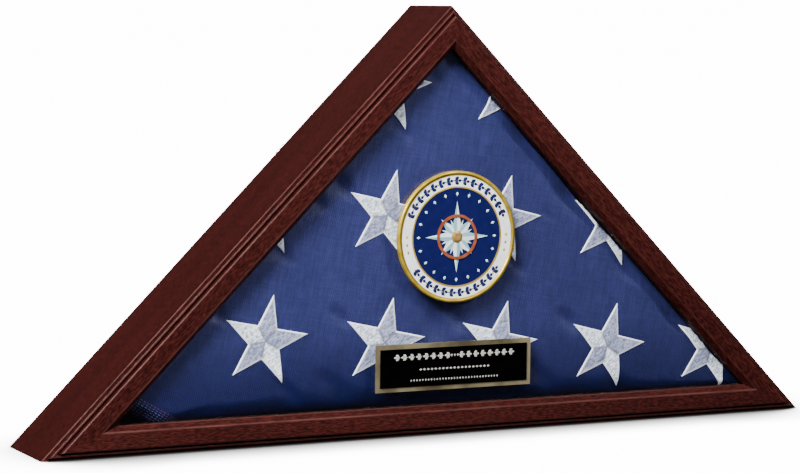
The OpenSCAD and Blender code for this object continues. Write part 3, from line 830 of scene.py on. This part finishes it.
# Each fan's tone is painted sheen and shade: the same white thread, lighter or darker by the way its stitches lie to
# the light.
fan_sheen_tones = (
    (0.28, 0.29, 0.43), (0.26, 0.27, 0.41), (0.72, 0.745, 0.85), (0.25, 0.26, 0.39), (0.67, 0.70, 0.80),
)
fan = add_node("ShaderNodeValToRGB", {"Fac": maths("DIVIDE", facet, 4.0)})
for number, fan_sheen_tone in enumerate(fan_sheen_tones):
    if 0 < number < 4:
        fan.color_ramp.elements.new(number / 4)
    fan.color_ramp.elements[number].color = (*fan_sheen_tone, 1)
tangle = streaks(turned_in_plane(place, 0.7), 1.0, 380.0, 900.0, 2.0)
rows = maths("SINE", times(stitch, math.tau / stitch_pitch))
colour = tinted(fan.outputs["Color"], blended(ranged(tangle, 0.32, 0.68), (0.44, 0.46, 0.54), (1.72, 1.69, 1.58)))
colour = tinted(colour, blended(ranged(rows, -1.0, 0.2), (0.76, 0.78, 0.84), (1.08, 1.08, 1.06)))
colour = blended(times(seam, 0.85), colour, (0.13, 0.135, 0.19))
colour = blended(times(edge, 0.95), colour, (0.96, 0.97, 1.0))
surface(bsdf, colour, plus(rows, times(tangle, 2.0)), 0.6, 0.15)


def sew(name, piece, places, facing, turns, material):
    """Sews a small piece on the flag's cloth at each place, and lets the rows ride on the case."""
    base = mesh_object("sewing_places", [(x * MM, 0, z * MM) for x, z in places])
    for label, values in (("facing", facing), ("turn", turns)):
        base.data.attributes.new(label, "FLOAT", "POINT").data.foreach_set("value", values)
    made = grown(name, base, sewn, Piece=piece, Cloth=flag, Material=material)
    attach(made, "case")
    return made


star_form = shape_object("star_form", star_shape(), MM, forward=True)
facings = [side for side in (1.0, -1.0) for _ in star_rows]
turns = [-side * turn for side in (1.0, -1.0) for *_, turn in star_rows]
stars = sew("flag_stars_sewn", star_form, [star[:2] for star in star_rows] * 2, facings, turns, star_white)
bpy.data.objects.remove(star_form)
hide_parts("flag_stars")


# ---- Hem stitches ----
# The flag's blunt left end is its hemmed heading.
# It is sewn with close rows of violet and pale blue thread, across the end.
stitch_long, stitch_half, stitch_wide, stitch_step, hem_turn = 7, 1.1, 0.24, 3.0, math.radians(30)
hem_corner, hem_end_in = Vector((-262.3, 34.4)), 2.2


def stitch_shape():
    """One stitch in millimetres: a short round thread that bulges towards -y."""
    shape = bmesh.new()
    for u, v in itertools.product(range(stitch_long), range(3)):
        bulge = math.sin(math.pi * u / (stitch_long - 1))
        out = 0.12 + 0.28 * bulge * (v == 1)
        shape.verts.new(((u / 3 - 1) * stitch_half, -out, (v - 1) * stitch_wide * bulge))
    shape.verts.ensure_lookup_table()
    for u, v in itertools.product(range(stitch_long - 1), range(2)):
        a = u * 3 + v
        shape.faces.new([shape.verts[n] for n in (a, a + 3, a + 4, a + 1)])
    bmesh.ops.remove_doubles(shape, verts=shape.verts, dist=1e-3)
    return shape


def matt(name, scale, detail, spread, tones, strength, depth, distortion=0.0, **sockets):
    """A matt finish, with one noise for its colour and its bump."""
    material, tree, bsdf = new_material(name, **sockets)
    spots = noise(object_place(tree), scale, detail, Distortion=distortion)
    surface(bsdf, blended(ranged(spots, *spread), *tones), spots, strength, depth)
    return material


def hem_row(inward):
    """Stitch places on a line across the blunt end, a distance in from it."""
    corner = hem_corner + Vector((0.5, 0.866)) * inward
    places = [corner + Vector((0.866, -0.5)) * (stitch_step * i) for i in range(-16, 52)]
    return [p for p in places if min(wall_distances(p.x * MM, p.y * MM)[:3]) > hem_end_in * MM]


stitch = shape_object("stitch_form", stitch_shape(), MM, forward=True)
for name, tones, rows_in in (
    ("violet", ((0.045, 0.012, 0.045), (0.12, 0.035, 0.09)), (1.5, 3.4, 10.4, 12.2)),
    ("pale", ((0.045, 0.055, 0.13), (0.11, 0.13, 0.25)), (5.2, 7, 8.7)),
):
    thread = matt(name + "_thread", 1500.0, 2.0, (0.35, 0.65), tones, 0.4, 0.1, Roughness=0.6)
    spots = [spot for inward in rows_in for spot in hem_row(inward)]
    stitches = sew("hem_stitches_" + name, stitch, spots, [1.0] * len(spots), [hem_turn] * len(spots), thread)
bpy.data.objects.remove(stitch)


# ---- Medallion ----
# A gilt body with a recessed white enamel ring and a deep blue enamel field, stuck to the glass inside.
# Laurel sprigs stand on the ring in two arcs, and a faceted compass rose on the field in a copper hoop.
medal_x, medal_z = 5.0, 150.0
ring_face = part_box("medallion_white_ring")[0][1] / MM
field_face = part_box("medallion_blue_field")[0][1] / MM
rose_low, rose_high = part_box("medallion_rose")
rim_middle, rim_half, rim_high = 48.6, 1.6, 1.1

# The gilt rim is rounded by a second bump, on top of the wear.
gilt = metal("gilt", (0.36, 0.235, 0.012), (0.62, 0.44, 0.045), 0.26, 0.4, scale=120.0, metallic=0.5)
centred = vectors("SUBTRACT", object_place(gilt.node_tree), (medal_x * MM, 0, medal_z * MM))
radius = length(vectors("MULTIPLY", centred, (1000, 0, 1000)))
off_middle = maths("ABSOLUTE", maths("DIVIDE", minus(radius, rim_middle), rim_half))
gilt_normal = gilt.node_tree.nodes["Principled BSDF"].inputs["Normal"]
feed(gilt_normal, node_out("ShaderNodeBump", {
    "Height": maths("MAXIMUM", minus(1.0, maths("POWER", off_middle, 2.0)), 0.0),
    "Strength": 1.0, "Distance": rim_high * MM, "Normal": gilt_normal.links[0].from_socket,
}))
gilt_boss = metal("gilt_boss", (0.34, 0.19, 0.05), (0.58, 0.36, 0.10), 0.3, 0.45, scale=500.0, metallic=0.6)


def enamel(name, dark, light, coat=0.6, rough=0.25, specular=0.3):
    """Fired enamel: a clear gloss over a colour that clouds a little, with a few fine dimples."""
    material, tree, bsdf = new_material(name, Coat_Weight=coat, Coat_Roughness=0.05, Specular_IOR_Level=specular)
    place = object_place(tree)
    cloud = noise(place, 140.0, 4.0)
    roughness = ranged(cloud, 0.0, 1.0, rough - 0.05, rough + 0.05)
    surface(bsdf, blended(ranged(cloud, 0.3, 0.7), dark, light), noise(place, 900.0, 1.0), 0.3, 0.03, roughness)
    return material


foam_tape = enamel("foam_tape", (0.52, 0.52, 0.5), (0.62, 0.62, 0.6), coat=0.0, rough=0.8)
navy_enamel = enamel("navy_enamel", (0.006, 0.009, 0.055), (0.009, 0.012, 0.070), coat=0.3)
pale_enamel = enamel("pale_enamel", (0.50, 0.66, 0.70), (0.66, 0.79, 0.82))
for name, finish in (
    ("body", gilt),
    ("boss", gilt_boss),
    ("white_ring", enamel("white_enamel", (0.76, 0.755, 0.74), (0.88, 0.875, 0.86))),
    ("blue_field", enamel("blue_enamel", (0.0038, 0.0053, 0.051), (0.0047, 0.0066, 0.060))),
    ("hoop", enamel("copper_enamel", (0.17, 0.040, 0.016), (0.27, 0.075, 0.030), coat=0.4)),
    ("tape", foam_tape),
):
    dress("medallion_" + name, finish)


def raised(name, outline, thick, top=0.62):
    """A small raised form, in millimetres: sloping sides up from its outline, and a low peak."""
    middle = Vector((sum(x for x, _ in outline), 0, sum(z for _, z in outline))) / len(outline)
    shape = bmesh.new()
    low = [shape.verts.new((x, 0.05, z)) for x, z in outline]
    high = [shape.verts.new(middle + (v.co - middle) * top + Vector((0, -thick * 0.8, 0))) for v in low]
    peak = shape.verts.new(middle + Vector((0, -thick, 0)))
    for i in range(len(low)):
        j = (i + 1) % len(low)
        shape.faces.new((low[i], low[j], high[j], high[i]))
        shape.faces.new((high[i], high[j], peak))
    shape.faces.new(low)
    return shape_object(name, shape, MM)


def leaf(long, wide, at_x, at_z, angle):
    """A raised, pointed leaf, growing from a place at an angle."""
    half = ((0, 0), (0.25, 0.42), (0.55, 0.5), (0.82, 0.28), (1, 0))
    outline = [(u * long, v * wide) for u, v in half] + [(u * long, -v * wide) for u, v in half[3:0:-1]]
    cos, sin = math.cos(angle), math.sin(angle)
    return raised("leaf", [(at_x + x * cos - z * sin, at_z + x * sin + z * cos) for x, z in outline], 0.3)


def laurel_sprig(size):
    """A short stem with a pair of leaves and one leaf at its end, along x, as one object."""
    back, front, half = -0.5 * size, 0.1 * size, 0.06 * size
    forms = [raised("stem", [(back, -half), (front, -half), (front, half), (back, half)], 0.16)]
    for long, wide, at_x, at_z, angle in (
        (0.66, 0.46, -0.32, 0.03, 0.66), (0.66, 0.46, -0.32, -0.03, -0.66), (0.5, 0.36, 0.04, 0, 0.0),
    ):
        forms.append(leaf(long * size, wide * size, at_x * size, at_z * size, angle))
    shape = bmesh.new()
    for form in forms:
        shape.from_mesh(form.data)
        bpy.data.objects.remove(form)
    return shape_object("laurel_sprig", shape)


def lozenge(size, thick=0.25):
    return raised("lozenge", [(size, 0), (0, size * 0.72), (-size, 0), (0, -size * 0.72)], thick)


row_tree, into = geometry_tree(
    "row_on_path", Piece="Object", Count="Int", Turn="Float", Size="Float", Material="Material")
path = node_out("GeometryNodeMeshToCurve", {"Mesh": into["Geometry"]})
spots = add_node("GeometryNodeCurveToPoints", {"Curve": path, "Count": into["Count"]}, mode="COUNT").outputs
tangent = {"Vector": spots["Tangent"]}
along = node_out("FunctionNodeAlignRotationToVector", tangent, axis="X", pivot_axis="Y")
turning = {"Rotation": along, "Rotate By": euler(0.0, into["Turn"])}
about = node_out("FunctionNodeRotateRotation", turning, rotation_space="LOCAL")
put_out(copies(spots["Points"], into["Piece"], about, Scale=into["Size"]), into["Material"])


def medal_arc(radius, start, end, depth, steps=60):
    """Points round the medallion, by angles clockwise from its top."""
    angles = [math.radians(start + (end - start) * i / steps) for i in range(steps + 1)]
    return [(medal_x + radius * math.sin(a), depth, medal_z + radius * math.cos(a)) for a in angles]


def set_row(name, piece, points, count, material, turn=0.0, size=1.0, closed=False):
    """A row of one small piece along a path through points in millimetres, riding on the case."""
    links = [(i, i + 1) for i in range(len(points) - 1)] + ([(len(points) - 1, 0)] if closed else [])
    line = mesh_object("path", [Vector(point) * MM for point in points], links)
    made = grown(name, line, row_tree, Piece=piece, Count=count, Turn=turn, Size=size, Material=material)
    made.data.shade_flat()
    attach(made, "case")


sprig, diamond = laurel_sprig(7.2), lozenge(1.5)
ring_middle, field_row = 42.5, 32.5
for side, start, end, count in (("upper", -66, 66, 15), ("lower", 232, 128, 12)):
    set_row("laurel_" + side, sprig, medal_arc(ring_middle, start, end, ring_face), count, navy_enamel)
for side, angle in (("right", 97), ("left", 263)):
    set_row("ring_lozenge_" + side, diamond, medal_arc(ring_middle, angle - 8, angle + 8, ring_face), 3, gilt,
            size=1.1)
set_row("field_lozenges", diamond, medal_arc(field_row, 0, 360, field_face, 72)[:-1], 20, pale_enamel,
        turn=math.pi / 2, size=1.15, closed=True)

rose_thick = (rose_high[1] - rose_low[1]) / MM
rose_middle = Vector((medal_x, rose_high[1] / MM, medal_z))
rose_radius = (rose_high[0] - rose_low[0]) / 2 / MM
# The rose's points: how many, how far they reach, their waist, the first one's angle, half a point, and height.
rose_points = (
    (8, 0.52, 0.2, 22.5, math.pi / 8, 0.6), (4, 0.7, 0.24, 45, math.pi / 4, 0.8), (4, 1.0, 0.22, 0, math.pi / 4, 1.0),
)


def rose_shape():
    """A sixteen-pointed rose: four long points, four shorter and eight small, each with a ridge."""
    shape = bmesh.new()
    tone = shape.faces.layers.float.new("tone")

    def rose_vert(angle, reach, high):
        reach *= rose_radius
        return shape.verts.new((reach * math.sin(angle), -high * rose_thick, reach * math.cos(angle)))

    for count, reach, waist, start, half, high in rose_points:
        for number in range(count):
            angle = math.radians(start + 360 / count * number)
            peak, foot = rose_vert(0, 0, high), rose_vert(angle, reach, 0)
            sides = [rose_vert(angle + side * half, waist, 0.15) for side in (-1, 1)]
            lows = [rose_vert(angle + side * half, waist, 0) for side in (-1, 1)]
            centre = rose_vert(0, 0, 0)
            for light, (vert, low) in enumerate(zip(sides, lows)):
                for verts in ((peak, vert, foot), (vert, low, foot), (peak, centre, low, vert), (centre, foot, low)):
                    shape.faces.new(verts)[tone] = light
    bmesh.ops.remove_doubles(shape, verts=shape.verts, dist=1e-5)
    return shape


rose = shape_object("compass_rose", rose_shape(), MM)
rose.data.transform(Matrix.Translation(rose_middle * MM))
rose_enamel, tree, bsdf = new_material("rose_enamel", Roughness=0.25, Coat_Weight=0.5, Coat_Roughness=0.05)
facets = blended(own_mark(tree, "tone"), (0.20, 0.40, 0.47), (0.74, 0.79, 0.80))
clouding = blended(noise(object_place(tree), 500.0, 3.0), (0.85, 0.85, 0.85), (1.1, 1.1, 1.1))
feed(bsdf.inputs["Base Color"], tinted(facets, clouding))
rose.data.materials.append(rose_enamel)
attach(rose, "case")
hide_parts("medallion_rose")


# ---- Nameplate ----
# A satin brass plate with a black lacquered panel, stuck to the glass inside, below the medallion.
# Where such a plate is engraved it carries three silver rows of ornament and no words.
plate_x, plate_z = 5.0, 52.0
lacquer_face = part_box("nameplate_black")[0][1] / MM
black = (0.0002, 0.0002, 0.0002), (0.0006, 0.0005, 0.0005)
# The brass border's broad light and dark clouds are painted reflections.
dress("nameplate_border",
      metal("satin_brass", (0.07, 0.054, 0.026), (0.33, 0.275, 0.16), 0.3, 0.5, scale=26.0, metallic=0.6))
dress("nameplate_black", enamel("black_lacquer", *black, coat=0.0, rough=0.3, specular=0.05))
dress("nameplate_tape", foam_tape)
silver = metal("engraved_silver", (0.36, 0.35, 0.32), (0.62, 0.61, 0.57), 0.35, 0.5, scale=700.0, metallic=0.3)

plate_sprig, plate_lozenge = laurel_sprig(6.6), lozenge(1.3, 0.15)
# Each row: its small piece, where it starts and ends, its height on the plate, and the pieces' count, size and turn.
for name, form, start, end, high, count, size, turn in (
    ("sprigs_left", plate_sprig, -6, -49, 8.0, 8, 0.8, 0.0),
    ("sprigs_right", plate_sprig, 6, 49, 8.0, 8, 0.8, 0.0),
    ("middle_lozenge", plate_lozenge, -2.6, 2.6, 8.0, 3, 1.0, math.pi / 2),
    ("lozenges", plate_lozenge, -29, 29, -1.8, 19, 1.1, 0.0),
    ("beads", plate_lozenge, -37, 37, -9.8, 31, 0.85, math.pi / 2),
):
    line = [(plate_x + x, lacquer_face, plate_z + high) for x in (start, end)]
    set_row("nameplate_" + name, form, line, count, silver, turn=turn, size=size)
for form in (sprig, diamond, plate_sprig, plate_lozenge):
    bpy.data.objects.remove(form)


# ---- Back panel and felt ----
# Brown hardboard with its screen-printed side out and grey felt glued inside, laid in the rails' rebate.
screen_pitch = 1.6 * MM
board, tree, bsdf = new_material("hardboard", Roughness=0.7, Specular_IOR_Level=0.3)
place = object_place(tree)
fibre = noise(place, 700.0, 3.0)
colour = blended(ranged(noise(place, 9.0, 6.0, Roughness=0.7), 0.3, 0.7), (0.085, 0.050, 0.031), (0.135, 0.084, 0.053))
colour = blended(ranged(fibre, 0.52, 0.7), colour, (0.21, 0.145, 0.095))
colour = blended(ranged(fibre, 0.4, 0.28), colour, (0.045, 0.026, 0.016))
across, _, up = parts(vectors("SCALE", place, math.tau / screen_pitch))
screen = times(maths("SINE", across), maths("SINE", up))
surface(bsdf, colour, plus(times(screen, 0.5), fibre), 0.6, 0.12)
dress("back_panel", board)

felt_tones = (0.11, 0.113, 0.115), (0.21, 0.212, 0.215)
dress("back_felt", matt("grey_felt", 420.0, 6.0, (0.32, 0.68), felt_tones, 0.7, 0.4, distortion=1.5, Roughness=0.95,
                        Sheen_Weight=0.3, Sheen_Roughness=0.6, Specular_IOR_Level=0.1))


# ---- Turn buttons ----
# Six stamped brass turn buttons on brass wood screws.
# Turned over the panel's edge, they hold it in its rebate.
brass = metal("button_brass", (0.42, 0.30, 0.12), (0.68, 0.52, 0.24), 0.24, 0.42, scale=180.0)
screw_brass = metal("screw_brass", (0.50, 0.38, 0.17), (0.74, 0.60, 0.32), 0.2, 0.36, scale=600.0)
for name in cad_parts:
    if name.startswith("turn_button_"):
        dress(name, screw_brass if name == "turn_button_screws" else brass)


# ---- Hangers ----
# Nickel rings on zinc straps screwed to the sloping rails' backs.
# The case hangs on a wall by them.
nickel = metal("nickel", (0.52, 0.51, 0.48), (0.76, 0.75, 0.71), 0.16, 0.3, scale=500.0)
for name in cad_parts:
    if name.startswith("hanger_"):
        dress(name, nickel if "ring" in name else zinc)


# ---- Wall bumpers ----
# Two round black rubber pads, dusty with handling.
# They are stuck on the back of the base rail.
rubber_tones = (0.012, 0.012, 0.013), (0.055, 0.054, 0.052)
dress("wall_bumpers", matt("rubber", 350.0, 6.0, (0.45, 0.75), rubber_tones, 0.5, 0.1, Roughness=0.8,
                           Specular_IOR_Level=0.3))
